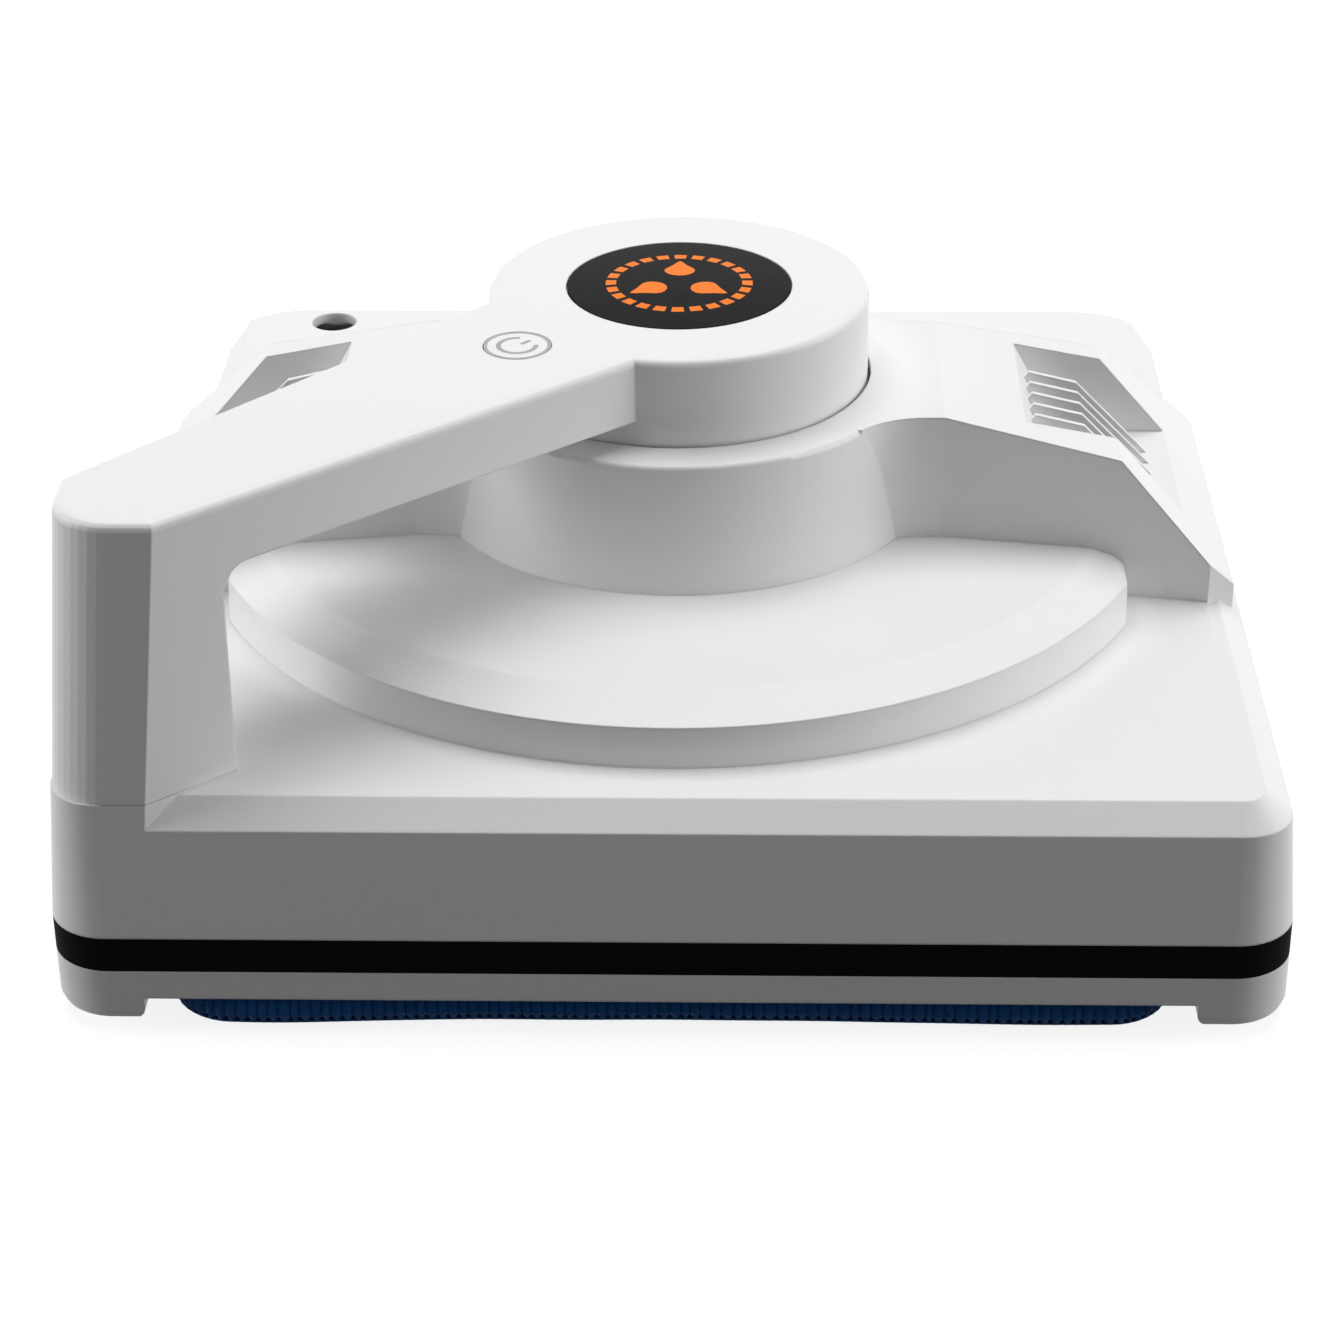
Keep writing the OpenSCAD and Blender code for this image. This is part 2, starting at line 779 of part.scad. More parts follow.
module handle_base() {
  x1 = post_s - post_blend_r - fit_gap;
  color(pale) difference() {
    union() {
      translate([0, 0, arm_z]) linear_extrude(handle_base_t) difference() {
        arm_strip(wall + fit_gap, 0);
        rotate([0, 0, 225]) translate([x1, -half]) square(2 * half);
      }
      // four pillars that carry the button board
      for (a = [0, 90, 180, 270])
        translate([button_x, button_x, 0]) rotate([0, 0, a])
        translate([button_board_r - 2 * screw_r, 0, 0]) post_hole(screw_r, arm_z, button_board_z);
    }
    post_hole(hub_r + fit_gap, arm_z - ov, arm_z + handle_base_t + ov);
    for (s = handle_screw_s) rotate([0, 0, 225]) translate([s, 0, 0]) {
      post_hole(shank_hole_r, arm_z - ov, arm_z + handle_base_t + ov);
      post_hole(head_hole_r, arm_z - ov, arm_z + handle_base_t / 2);
    }
  }
}

module hub_badge() {
  dome = [for (i = [0 : dome_steps])
    let (f = i / dome_steps) [badge_r * f, handle_z + badge_dome * (1 - f * f)]];
  color(black) rotate_extrude()
    polygon(concat([[0, handle_z - badge_t]], dome, [[badge_r, handle_z - badge_t]]));
}

module power_button() {
  color(white) translate([button_x, button_x, 0]) {
    post_hole(button_r, button_low_z, handle_z);
    post_hole(button_r + button_flange, button_low_z, button_low_z + button_flange_t);
    post_hole(button_r / 3, button_low_z - fit_gap, button_low_z + slice);
  }
}

module button_switch() {
  color(black) translate([button_x, button_x, 0]) {
    post_hole(switch_r, switch_z, switch_top_z - fit_gap);
    post_hole(button_r / 4, switch_z, switch_top_z);
  }
}

module button_board() {
  color(green) translate([button_x, button_x, 0]) post_hole(button_board_r, button_board_z, switch_z);
}

// Lower half

module perimeter_band() {
  color(black) square_ring(band_z, shell_z, half, half - band_d, corner_r);
}

// Outline of the foot at a corner
module foot_plan(sx, sy) {
  c = 2 * half - foot_w;
  intersection() {
    round_square(half, corner_r);
    translate([sx * c, sy * c]) round_square(half, foot_corner_r);
  }
}

// Cross section of the two feet on one side, in X and Z
module foot_profile() {
  for (m = [0, 1]) mirror([m, 0]) translate([half - foot_w, foot_z]) {
    translate([foot_round, 0]) square([foot_w - foot_round, frame_z]);
    translate([0, foot_round]) square([foot_w, frame_z]);
    translate([foot_round, foot_round]) circle(foot_round);
  }
}

// The foot at a corner up to height top, its lower inner edges rounded
module foot(sx, sy, top) {
  intersection() {
    translate([0, 0, foot_z]) linear_extrude(top - foot_z) foot_plan(sx, sy);
    along_y(-half, half) foot_profile();
    rotate([0, 0, 90]) along_y(-half, half) foot_profile();
  }
}

module lower_frame() {
  color(pale) difference() {
    intersection() {
      leaning_block([
        [half - foot_edge, foot_z], [half - foot_bite, foot_z + foot_bite],
        [half, foot_z + foot_edge], [half, band_z]], corner_mid);
      union() {
        square_ring(base_top, band_z, half, half - frame_rim_d - frame_ledge_d, corner_r);
        square_ring(frame_z, base_top, half, base_half + fit_gap, corner_r);
        for (sx = [-1, 1], sy = [-1, 1]) {
          foot(sx, sy, frame_z - fit_gap);
          difference() {
            foot(sx, sy, frame_z + slice);
            linear_extrude(frame_z + ov) round_square(base_half + fit_gap, corner_r - wall);
          }
        }
        for (p = screw_places) translate([p[0], p[1], 0]) post_hole(boss_r, base_top, band_z);
      }
    }
    for (p = screw_places)
      translate([p[0], p[1], 0]) post_hole(shank_hole_r, base_top - ov, band_z + ov);
    for (p = base_screw_places)
      translate([p[0], p[1], 0]) post_hole(head_hole_r, 0, frame_z);
  }
}

module base_plate() {
  color(grey) difference() {
    union() {
      translate([0, 0, frame_z]) linear_extrude(base_t) difference() {
        round_square(base_half, corner_r - wall);
        circle(duct_r);
        for (sx = [-1, 1]) translate([sx * track_x, 0])
          square([2 * slot_half_x, 2 * slot_half_y], center = true);
      }
      for (sx = [-1, 1], sy = [-1, 1])
        translate([sx * (board_w / 2 - boss_r), board_y + sy * (board_d / 2 - boss_r), 0])
        post_hole(boss_r / 2, frame_z, board_z);
    }
    post_hole(duct_r + duct_t, frame_z - ov, frame_z + base_t / 2);
    for (p = screw_places) translate([p[0], p[1], 0]) {
      post_hole(shank_hole_r, frame_z - ov, base_top + ov);
      post_hole(head_hole_r, frame_z - ov, frame_z + head_sink);
    }
    for (a = fan_leg_angles) rotate([0, 0, a]) translate([fan_leg_s, 0, 0]) {
      post_hole(shank_hole_r, frame_z - ov, base_top + ov);
      post_hole(head_hole_r, frame_z - ov, frame_z + head_sink);
    }
    hook_plan(frame_z - ov, frame_z + hook_t, fit_gap);
  }
}

hook_w = 8;
hook_l = 120;
hook_in = 30;
module hook_plan(z0, z1, grow) {
  for (a = [0, 90, 180, 270]) rotate([0, 0, a])
    translate([half - hook_in, 0, z0]) linear_extrude(z1 - z0)
    square([hook_w + 2 * grow, hook_l + 2 * grow], center = true);
}

module hook_strips() {
  color(black) hook_plan(frame_z, frame_z + hook_t, 0);
}

// Cross section of the cloth pad from edge to edge, h is half its width
module pad_section(h) {
  translate([-h + cloth_edge, 0]) square([2 * (h - cloth_edge), cloth_t]);
  translate([-h, cloth_edge]) square([2 * h, cloth_t - 2 * cloth_edge]);
  for (s = [-1, 1], z = [cloth_edge, cloth_t - cloth_edge])
    translate([s * (h - cloth_edge), z]) circle(cloth_edge);
}

// One bar of the cloth pad, wide in X, with round edges
module cloth_bar() {
  intersection() {
    along_y(-cloth_half, cloth_half) pad_section(cloth_half);
    rotate([0, 0, 90]) along_y(-half, half) pad_section(cloth_side);
    linear_extrude(cloth_t) round_rect(cloth_half, cloth_side, cloth_corner_r);
  }
}

module cloth_pad() {
  color(blue) difference() {
    union() {
      cloth_bar();
      rotate([0, 0, 90]) cloth_bar();
    }
    translate([0, 0, -ov]) linear_extrude(cloth_t + 2 * ov) round_square(cloth_open, corner_r);
  }
}

// Suction

grille_t = 1.6;
grille_slot = 3.4;
grille_bar = 1.6;
module inlet_grille() {
  color(black) translate([0, 0, frame_z]) linear_extrude(base_t / 2 - slice) difference() {
    circle(duct_r + duct_t - fit_gap);
    intersection() {
      circle(duct_r - grille_t);
      for (i = [-4 : 4])
        translate([i * (grille_slot + grille_bar), 0]) square([grille_slot, 2 * duct_r], center = true);
    }
  }
}

module suction_duct() {
  color(black) translate([0, 0, base_top]) difference() {
    cylinder(r = duct_r + duct_t, h = fan_z - base_top);
    translate([0, 0, -ov]) cylinder(r = duct_r, h = fan_z - base_top + 2 * ov);
  }
}

module fan_outlets() {
  for (sx = [-1, 1])
    box([sx > 0 ? fan_r / 2 : -fan_r - 2 * fan_wall, -outlet_half_y, fan_z + outlet_low],
      [sx > 0 ? fan_r + 2 * fan_wall : -fan_r / 2, outlet_half_y, fan_z + outlet_low + outlet_h]);
}

module fan_housing() {
  color("#2b2d30") difference() {
    union() {
      translate([0, 0, fan_z]) cylinder(r = fan_r + fan_wall, h = fan_h);
      for (a = fan_leg_angles) rotate([0, 0, a])
        translate([fan_leg_s, 0, 0]) post_hole(fan_leg_r, base_top, fan_z + slice);
    }
    translate([0, 0, fan_z + fan_floor_t]) cylinder(r = fan_r, h = fan_h);
    post_hole(duct_r - duct_t, fan_z - ov, fan_z + fan_h);
    fan_outlets();
    for (a = fan_leg_angles) rotate([0, 0, a])
      translate([fan_leg_s, 0, 0]) post_hole(boss_hole_r, base_top - ov, base_top + screw_l);
  }
}

module fan_lid() {
  color("#2b2d30") translate([0, 0, fan_top_z]) difference() {
    cylinder(r = fan_r + fan_wall, h = fan_lid_t);
    translate([0, 0, -ov]) cylinder(r = 2 * fan_shaft_r, h = fan_lid_t + 2 * ov);
  }
}

// One curved blade, an arc of a ring
module blade() {
  ring_r = impeller_r * 0.62;
  intersection() {
    translate([impeller_r * 0.42, -impeller_r * 0.46]) difference() {
      circle(ring_r + blade_t / 2);
      circle(ring_r - blade_t / 2);
    }
    difference() {
      circle(impeller_r);
      circle(impeller_eye_r);
    }
    translate([0, 0]) square(2 * impeller_r);
  }
}

module impeller() {
  color("#d7d9db") difference() {
    union() {
      translate([0, 0, impeller_z + impeller_h - impeller_plate_t])
        cylinder(r = impeller_r, h = impeller_plate_t);
      translate([0, 0, impeller_z]) cylinder(r = impeller_hub_r, h = impeller_h);
      for (i = [0 : blade_n - 1]) rotate([0, 0, 360 * i / blade_n])
        translate([0, 0, impeller_z]) linear_extrude(impeller_h - impeller_plate_t / 2) blade();
    }
    post_hole(fan_shaft_r + run_gap, impeller_z - ov, impeller_z + impeller_h + ov);
  }
}

module fan_shaft() {
  color(steel) post_hole(fan_shaft_r, impeller_z + impeller_plate_t, fan_motor_z + fan_motor_l + fan_shaft_r);
}

module fan_motor() {
  color(steel) difference() {
    union() {
      translate([0, 0, fan_motor_z]) cylinder(r = fan_motor_r, h = fan_motor_l);
    }
    post_hole(fan_shaft_r + run_gap, fan_motor_z - ov, fan_motor_z + fan_motor_l + ov);
  }
}

module fan_driver_board() {
  color(green) difference() {
    translate([0, 0, fan_motor_z + fan_motor_l]) cylinder(r = driver_board_r, h = board_t);
    post_hole(2 * fan_shaft_r, fan_motor_z + fan_motor_l - ov, fan_motor_z + fan_motor_l + board_t + ov);
  }
}

// A duct from the fan housing to the vent, on the right side
module exhaust_duct() {
  z0 = fan_z + outlet_low;
  z1 = z0 + outlet_h;
  x1 = vent_x - pocket_wall - exhaust_gap;
  color("#3a3d40") difference() {
    box([fan_r, -outlet_half_y - exhaust_t, z0 - exhaust_t],
      [x1, outlet_half_y + exhaust_t, z1 + exhaust_t]);
    box([fan_r - ov, -outlet_half_y, z0], [x1 + ov, outlet_half_y, z1]);
    post_hole(fan_r + fan_wall + exhaust_gap, fan_z - ov, fan_top_z + ov);
  }
}

// Tracks, drawn for the right side

module stadium(r) {
  for (s = [-1, 1]) translate([s * wheel_y, 0]) circle(r);
  square([2 * wheel_y, 2 * r], center = true);
}

module belt() {
  r0 = belt_r - tread_h;
  step = 2 * wheel_y / (tread_n - 1);
  color("#222426") translate([track_x - belt_w / 2, 0, wheel_z]) rotate([90, 0, 90]) linear_extrude(belt_w) {
    difference() {
      stadium(r0);
      stadium(r0 - belt_t);
    }
    for (i = [0 : tread_n - 1], s = [-1, 1])
      translate([-wheel_y + i * step, s * (r0 + tread_h / 2 - slice)])
        square([tread_w, tread_h + 2 * slice], center = true);
    arc_n = floor(180 / (step / r0 * 180 / PI));
    for (s = [0, 180], k = [1 : arc_n - 1])
      translate([s == 0 ? wheel_y : -wheel_y, 0]) rotate([0, 0, s - 90 + 180 * k / arc_n])
      translate([r0 + tread_h / 2 - tread_h / 4, 0]) square([tread_h, tread_w], center = true);
  }
}

module track_frame() {
  color(grey) difference() {
    union() {
      for (s = [-1, 1])
        box([track_x + (s > 0 ? plate_in : -plate_in - plate_t), -plate_half_y, base_top],
          [track_x + (s > 0 ? plate_in + plate_t : -plate_in), plate_half_y, bridge_z + bridge_t]);
      box([track_x - plate_in - plate_t, -wheel_y / 2, bridge_z],
        [track_x + plate_in + plate_t, wheel_y / 2, bridge_z + bridge_t]);
      box([track_x - plate_in - plate_t / 2, -plate_half_y / 2, base_top + fit_gap],
        [track_x + plate_in + plate_t / 2, plate_half_y / 2, base_top + bridge_t]);
      box([track_x - wheel_w / 2, -wheel_y + wheel_r + bridge_t, tread_h + belt_t + fit_gap],
        [track_x + wheel_w / 2, wheel_y - wheel_r - bridge_t, base_top + bridge_t]);
    }
    translate([track_x - half / 2, -wheel_y, wheel_z]) rotate([0, 90, 0])
      cylinder(r = shaft_r + run_gap, h = half);
    translate([track_x - half / 2, wheel_y, wheel_z]) rotate([0, 90, 0])
      cylinder(r = pin_r + slice, h = half);
  }
}

module wheel(y, bore_r) {
  color("#3c3f43") translate([track_x - wheel_w / 2, y, wheel_z]) rotate([0, 90, 0]) difference() {
    cylinder(r = wheel_r, h = wheel_w);
    translate([0, 0, -ov]) cylinder(r = bore_r, h = wheel_w + 2 * ov);
    for (k = [0 : 5]) rotate([0, 0, 60 * k]) translate([(wheel_r + shaft_r) / 2, 0, -ov])
      cylinder(r = shaft_r * 0.7, h = wheel_w + 2 * ov);
  }
}

module drive_shaft() {
  x0 = track_x - plate_in - plate_t;
  color(steel) translate([x0, -wheel_y, wheel_z]) rotate([0, 90, 0])
    cylinder(r = shaft_r, h = gearbox_x + gearbox_w / 2 - x0);
}

module idler_pin() {
  x0 = track_x - plate_in - plate_t;
  color(steel) translate([x0, wheel_y, wheel_z]) rotate([0, 90, 0])
    cylinder(r = pin_r, h = 2 * (plate_in + plate_t));
}

module gearbox() {
  color("#d9d5c8") difference() {
    box([gearbox_x, -wheel_y - gearbox_d / 2, base_top],
      [gearbox_x + gearbox_w, -wheel_y + gearbox_d / 2, base_top + gearbox_h]);
    translate([gearbox_x - ov, -wheel_y, wheel_z]) rotate([0, 90, 0])
      cylinder(r = shaft_r + run_gap, h = gearbox_w / 2 + 2 * ov);
  }
}

module drive_motor() {
  color(steel) translate([gearbox_x + gearbox_w / 2, -wheel_y + gearbox_d / 2, base_top + gearbox_h / 2])
    rotate([-90, 0, 0]) {
      cylinder(r = drive_motor_r, h = drive_motor_l);
      cylinder(r = drive_motor_r / 3, h = drive_motor_l + pin_r);
    }
}

// Electronics

board_y = -slot_half_y - 2 * board_t - board_d / 2;
board_z = base_top + 3 * board_t;
module main_board() {
  color(green) box([-board_w / 2, board_y - board_d / 2, board_z],
    [board_w / 2, board_y + board_d / 2, board_z + board_t]);
}

// Middle, size and height of each part, as shares of the board's width and depth
part_shares = [
  [-0.36, 0.1, 0.14, 0.5, 0.07], [-0.1, -0.15, 0.1, 0.4, 0.06], [0.12, 0.12, 0.08, 0.45, 0.14],
  [0.27, -0.1, 0.1, 0.3, 0.2], [0.41, 0.05, 0.07, 0.75, 0.3]];
module board_parts() {
  color(black) for (p = part_shares)
    translate([
      (p[0] - p[2] / 2) * board_w, board_y + (p[1] - p[3] / 2) * board_d, board_z + board_t])
      cube([p[2] * board_w, p[3] * board_d, p[4] * board_d]);
}

cell_gap = 1;
tray_t = 1.6;
cell_pitch = 2 * cell_r + cell_gap;
tray_y = slot_half_y + fit_gap + tray_t + cell_r;
module battery_cells() {
  color("#3563a8") for (i = [0, 1], s = [-1, 1])
    translate([s > 0 ? cell_gap / 2 : -cell_gap / 2 - cell_l, tray_y + i * cell_pitch, base_top + tray_t + cell_r])
      rotate([0, 90, 0]) cylinder(r = cell_r, h = cell_l);
}

module battery_tray() {
  x = cell_l + 2 * tray_t;
  color(black) difference() {
    box([-x, tray_y - cell_r - tray_t, base_top],
      [x, tray_y + cell_pitch + cell_r + tray_t, base_top + tray_t + cell_r]);
    for (i = [0, 1]) translate([-cell_l - cell_gap, tray_y + i * cell_pitch, base_top + tray_t + cell_r])
      rotate([0, 90, 0]) cylinder(r = cell_r + fit_gap, h = 2 * (cell_l + cell_gap));
  }
}

socket_l = 15;
socket_r = 7.4;
module power_socket() {
  under = rear_deck_z - wall - fit_gap;
  color(black) translate([-inlet_x, inlet_y, 0]) difference() {
    union() {
      post_hole(socket_r, under - socket_l, deck_z - wall - fit_gap);
      post_hole(inlet_r - fit_gap, under - socket_l, under - wall);
    }
    post_hole(socket_bore_r, under - socket_l + wall, rear_deck_z);
  }
}

sensor_w = 7;
module edge_sensors() {
  s = half - base_screw_in - boss_r - sensor_w;
  color(black) for (sx = [-1, 1], sy = [-1, 1])
    translate([sx * s, sy * (half - frame_rim_d - frame_ledge_d - sensor_w), base_top])
    linear_extrude(2 * sensor_w) square(sensor_w, center = true);
}

// Fasteners

module base_screws() {
  color(steel) for (p = screw_places)
    translate([p[0], p[1], 0]) screw_up(frame_z + head_sink - screw_head_h);
}

module fan_screws() {
  color(steel) for (a = fan_leg_angles) rotate([0, 0, a])
    translate([fan_leg_s, 0, 0]) screw_up(frame_z + head_sink - screw_head_h);
}

module hub_screws() {
  color(steel) for (a = hub_angles) rotate([0, 0, a])
    translate([hub_screw_s, 0, 0]) screw_up(ledge_z - screw_head_h);
}

module handle_screws() {
  color(steel) for (s = handle_screw_s) rotate([0, 0, 225]) translate([s, 0, arm_z]) {
    cylinder(r = screw_head_r, h = handle_base_t / 2);
    cylinder(r = screw_r, h = screw_l - screw_head_h);
  }
}

upper_shell();
handle_cover();
handle_base();
hub_badge();
power_button();
button_board();
button_switch();
perimeter_band();
lower_frame();
base_plate();
cloth_pad();
hook_strips();
inlet_grille();
suction_duct();
fan_housing();
fan_lid();
impeller();
fan_motor();
fan_shaft();
fan_driver_board();
mirror([1, 0, 0]) exhaust_duct();  // exhaust_duct_left
exhaust_duct();  // exhaust_duct_right
mirror([1, 0, 0]) belt();  // belt_left
belt();  // belt_right
mirror([1, 0, 0]) track_frame();  // track_frame_left
track_frame();  // track_frame_right
mirror([1, 0, 0]) wheel(-wheel_y, shaft_r + slice);  // drive_wheel_left
wheel(-wheel_y, shaft_r + slice);  // drive_wheel_right
mirror([1, 0, 0]) drive_shaft();  // drive_shaft_left
drive_shaft();  // drive_shaft_right
mirror([1, 0, 0]) wheel(wheel_y, pin_r + run_gap);  // idler_wheel_left
wheel(wheel_y, pin_r + run_gap);  // idler_wheel_right
mirror([1, 0, 0]) idler_pin();  // idler_pin_left
idler_pin();  // idler_pin_right
mirror([1, 0, 0]) gearbox();  // gearbox_left
gearbox();  // gearbox_right
mirror([1, 0, 0]) drive_motor();  // drive_motor_left
drive_motor();  // drive_motor_right
main_board();
board_parts();
battery_tray();
battery_cells();
power_socket();
edge_sensors();
base_screws();
handle_screws();
hub_screws();
fan_screws();
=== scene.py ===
import bpy, math, random
from mathutils import Vector, Matrix
from mathutils.bvhtree import BVHTree


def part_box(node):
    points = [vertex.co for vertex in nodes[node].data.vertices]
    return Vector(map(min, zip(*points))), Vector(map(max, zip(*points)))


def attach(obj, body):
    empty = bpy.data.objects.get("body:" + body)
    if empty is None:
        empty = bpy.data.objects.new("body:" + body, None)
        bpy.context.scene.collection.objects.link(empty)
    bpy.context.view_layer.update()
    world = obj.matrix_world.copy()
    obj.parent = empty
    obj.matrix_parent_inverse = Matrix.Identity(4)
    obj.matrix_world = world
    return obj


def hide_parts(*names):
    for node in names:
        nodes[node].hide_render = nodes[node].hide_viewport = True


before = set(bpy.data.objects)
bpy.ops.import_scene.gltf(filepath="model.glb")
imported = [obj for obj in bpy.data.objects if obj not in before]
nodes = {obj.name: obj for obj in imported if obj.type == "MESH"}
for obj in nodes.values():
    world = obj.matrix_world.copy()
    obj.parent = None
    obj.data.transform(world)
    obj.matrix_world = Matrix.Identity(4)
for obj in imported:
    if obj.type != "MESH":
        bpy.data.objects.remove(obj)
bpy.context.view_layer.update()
MM = 0.001


# Camera: angles in degrees, lengths in millimetres, clip ends in metres

CAMERA_ANGLES = (1.5, 29.09, -0.45)  # azimuth from the front, elevation, roll
CAMERA_TARGET = (-2.14, 0.0, 12.97)
CAMERA_DISTANCE = 749.9
CAMERA_LENS, CAMERA_SENSOR = 90.16, 36.0
CAMERA_CLIP = (0.01, 20)


def make_camera():
    az, el, roll = [math.radians(a) for a in CAMERA_ANGLES]
    back = Vector((math.sin(az) * math.cos(el), -math.cos(az) * math.cos(el), math.sin(el)))
    right = (-back).cross(Vector((0, 0, 1))).normalized()
    up = right.cross(-back)
    rolled_right = right * math.cos(roll) + up * math.sin(roll)
    rolled_up = -right * math.sin(roll) + up * math.cos(roll)
    data = bpy.data.cameras.new("camera")
    data.lens, data.sensor_width = CAMERA_LENS, CAMERA_SENSOR
    data.clip_start, data.clip_end = CAMERA_CLIP
    cam = bpy.data.objects.new("camera", data)
    bpy.context.scene.collection.objects.link(cam)
    cam.location = Vector(CAMERA_TARGET) * MM + back * CAMERA_DISTANCE * MM
    cam.rotation_mode = "QUATERNION"
    cam.rotation_quaternion = Matrix((rolled_right, rolled_up, back)).transposed().to_quaternion()
    bpy.context.scene.camera = cam


make_camera()


# Shader nodes

def new_tree(name):
    """A material with its output node and nothing else."""
    m = bpy.data.materials.new(name)
    m.use_nodes = True
    m.node_tree.nodes.clear()
    return m, m.node_tree, m.node_tree.nodes.new("ShaderNodeOutputMaterial")


def new_material(name):
    m, nt, out = new_tree(name)
    b = node(nt, "ShaderNodeBsdfPrincipled")
    nt.links.new(b.outputs["BSDF"], out.inputs["Surface"])
    return m, nt, b


def node(nt, kind, **values):
    n = nt.nodes.new(kind)
    for k, v in values.items():
        if k in n.inputs:
            n.inputs[k].default_value = v
        else:
            setattr(n, k, v)
    return n


def coords(nt, scale=(1, 1, 1)):
    tc = node(nt, "ShaderNodeTexCoord")
    mp = node(nt, "ShaderNodeMapping", Scale=scale)
    nt.links.new(tc.outputs["Object"], mp.inputs["Vector"])
    return mp.outputs["Vector"]


def noise(nt, place, scale, detail, roughness=0.5):
    n = node(nt, "ShaderNodeTexNoise", Scale=scale, Detail=detail, Roughness=roughness)
    nt.links.new(place, n.inputs["Vector"])
    return n.outputs["Fac"]


def mapped(nt, value, low, high, start=0.0, end=1.0):
    """The value, with its range from start to end carried over to low and high."""
    n = node(nt, "ShaderNodeMapRange",
             **{"From Min": start, "From Max": end, "To Min": low, "To Max": high})
    nt.links.new(value, n.inputs["Value"])
    return n.outputs["Result"]


def calculated(nt, operation, first, second):
    """The result of a Math node; the first value is a socket or a number."""
    n = node(nt, "ShaderNodeMath", operation=operation)
    if isinstance(first, float):
        n.inputs[0].default_value = first
    else:
        nt.links.new(first, n.inputs[0])
    nt.links.new(second, n.inputs[1])
    return n.outputs[0]


def mixed(nt, factor, first, second):
    mix = node(nt, "ShaderNodeMixShader")
    nt.links.new(factor, mix.inputs["Fac"])
    nt.links.new(first, mix.inputs[1])
    nt.links.new(second, mix.inputs[2])
    return mix.outputs["Shader"]


def rounded_edges(nt, samples, radius):
    """Normals of edges rounded by a radius in millimetres."""
    return node(nt, "ShaderNodeBevel", samples=samples, Radius=radius * MM).outputs["Normal"]


# Materials: scales per metre, edges in millimetres

TONE = {"scale": 9.0, "detail": 3.0, "roughness": 0.6}    # slow changes of tone
WEAR = {"scale": 60.0, "detail": 4.0, "roughness": 0.65}  # changes of gloss
FINE = {"scale": 2600.0, "detail": 2.0}                   # grain of the mould
GLOSSIER, DULLER, LEAST_ROUGH = 0.04, 0.05, 0.02
GRAIN_HEIGHT = 0.0002
PLASTIC_EDGE_SAMPLES = 6

BRUSH_STRETCH = (1, 1, 40)
BRUSHED = {"scale": 180.0, "detail": 3.0}
METAL_GLOSSIER, METAL_DULLER = 0.08, 0.12
METAL_EDGE, METAL_EDGE_SAMPLES = 0.2, 4


def plastic(name, color, rough, edge, grain=0.0, spec=0.5, speck=0.02):
    """Moulded plastic: slight tone changes, a fine grain and rounded edges."""
    m, nt, b = new_material(name)
    v = coords(nt)
    tone = mapped(nt, noise(nt, v, **TONE), 1 - speck, 1 + speck)
    mix = node(nt, "ShaderNodeVectorMath", operation="SCALE")
    mix.inputs[0].default_value = color
    nt.links.new(tone, mix.inputs["Scale"])
    nt.links.new(mix.outputs["Vector"], b.inputs["Base Color"])
    gloss = mapped(nt, noise(nt, v, **WEAR), max(rough - GLOSSIER, LEAST_ROUGH), rough + DULLER)
    nt.links.new(gloss, b.inputs["Roughness"])
    b.inputs["Specular IOR Level"].default_value = spec
    bump = node(nt, "ShaderNodeBump", Strength=grain, Distance=GRAIN_HEIGHT)
    nt.links.new(noise(nt, v, **FINE), bump.inputs["Height"])
    nt.links.new(rounded_edges(nt, PLASTIC_EDGE_SAMPLES, edge), bump.inputs["Normal"])
    nt.links.new(bump.outputs["Normal"], b.inputs["Normal"])
    return m


def metal(name, color, rough):
    """Brushed metal with rounded edges."""
    m, nt, b = new_material(name)
    lines = noise(nt, coords(nt, BRUSH_STRETCH), **BRUSHED)
    gloss = mapped(nt, lines, rough - METAL_GLOSSIER, rough + METAL_DULLER)
    nt.links.new(gloss, b.inputs["Roughness"])
    b.inputs["Base Color"].default_value = (*color, 1)
    b.inputs["Metallic"].default_value = 1.0
    nt.links.new(rounded_edges(nt, METAL_EDGE_SAMPLES, METAL_EDGE), b.inputs["Normal"])
    return m


white = plastic("white_gloss", (0.87, 0.87, 0.867), 0.36, 0.7, grain=0.1, spec=0.3, speck=0.01)
pale = plastic("pale_satin", (0.78, 0.78, 0.785), 0.34, 0.7, grain=0.25, spec=0.3, speck=0.012)
band = plastic("black_band", (0.002, 0.002, 0.0025), 0.65, 0.4, grain=0.35, spec=0.02)
dark = plastic("dark_plastic", (0.02, 0.021, 0.023), 0.45, 0.4, grain=0.4)
grey = plastic("grey_base", (0.2, 0.205, 0.215), 0.42, 0.4, grain=0.5)
badge_black = plastic("badge_satin", (0.008, 0.008, 0.009), 0.4, 0.5, grain=0.3, spec=0.03)
rubber = plastic("belt_rubber", (0.018, 0.018, 0.02), 0.7, 0.25, grain=0.8, speck=0.12)
chips = plastic("chip_black", (0.012, 0.012, 0.013), 0.5, 0.1)
board = plastic("circuit_board", (0.015, 0.12, 0.05), 0.35, 0.1, speck=0.15)
cell = plastic("cell_sleeve", (0.03, 0.1, 0.34), 0.3, 0.2)
cream = plastic("gearbox_cream", (0.6, 0.57, 0.5), 0.45, 0.3, grain=0.4)
light_grey = plastic("fan_wheel", (0.5, 0.51, 0.52), 0.4, 0.2, grain=0.3)
orange_ink = plastic("orange_ink", (0.95, 0.21, 0.006), 0.4, 0.05, grain=0.2, spec=0.15)
# grey for the printed power sign, and for the painted shade of the gap round the button
grey_ink_and_gap_shade = plastic("grey_ink_and_gap_shade", (0.36, 0.38, 0.4), 0.4, 0.05, grain=0.2)
steel = metal("steel", (0.55, 0.56, 0.58), 0.28)

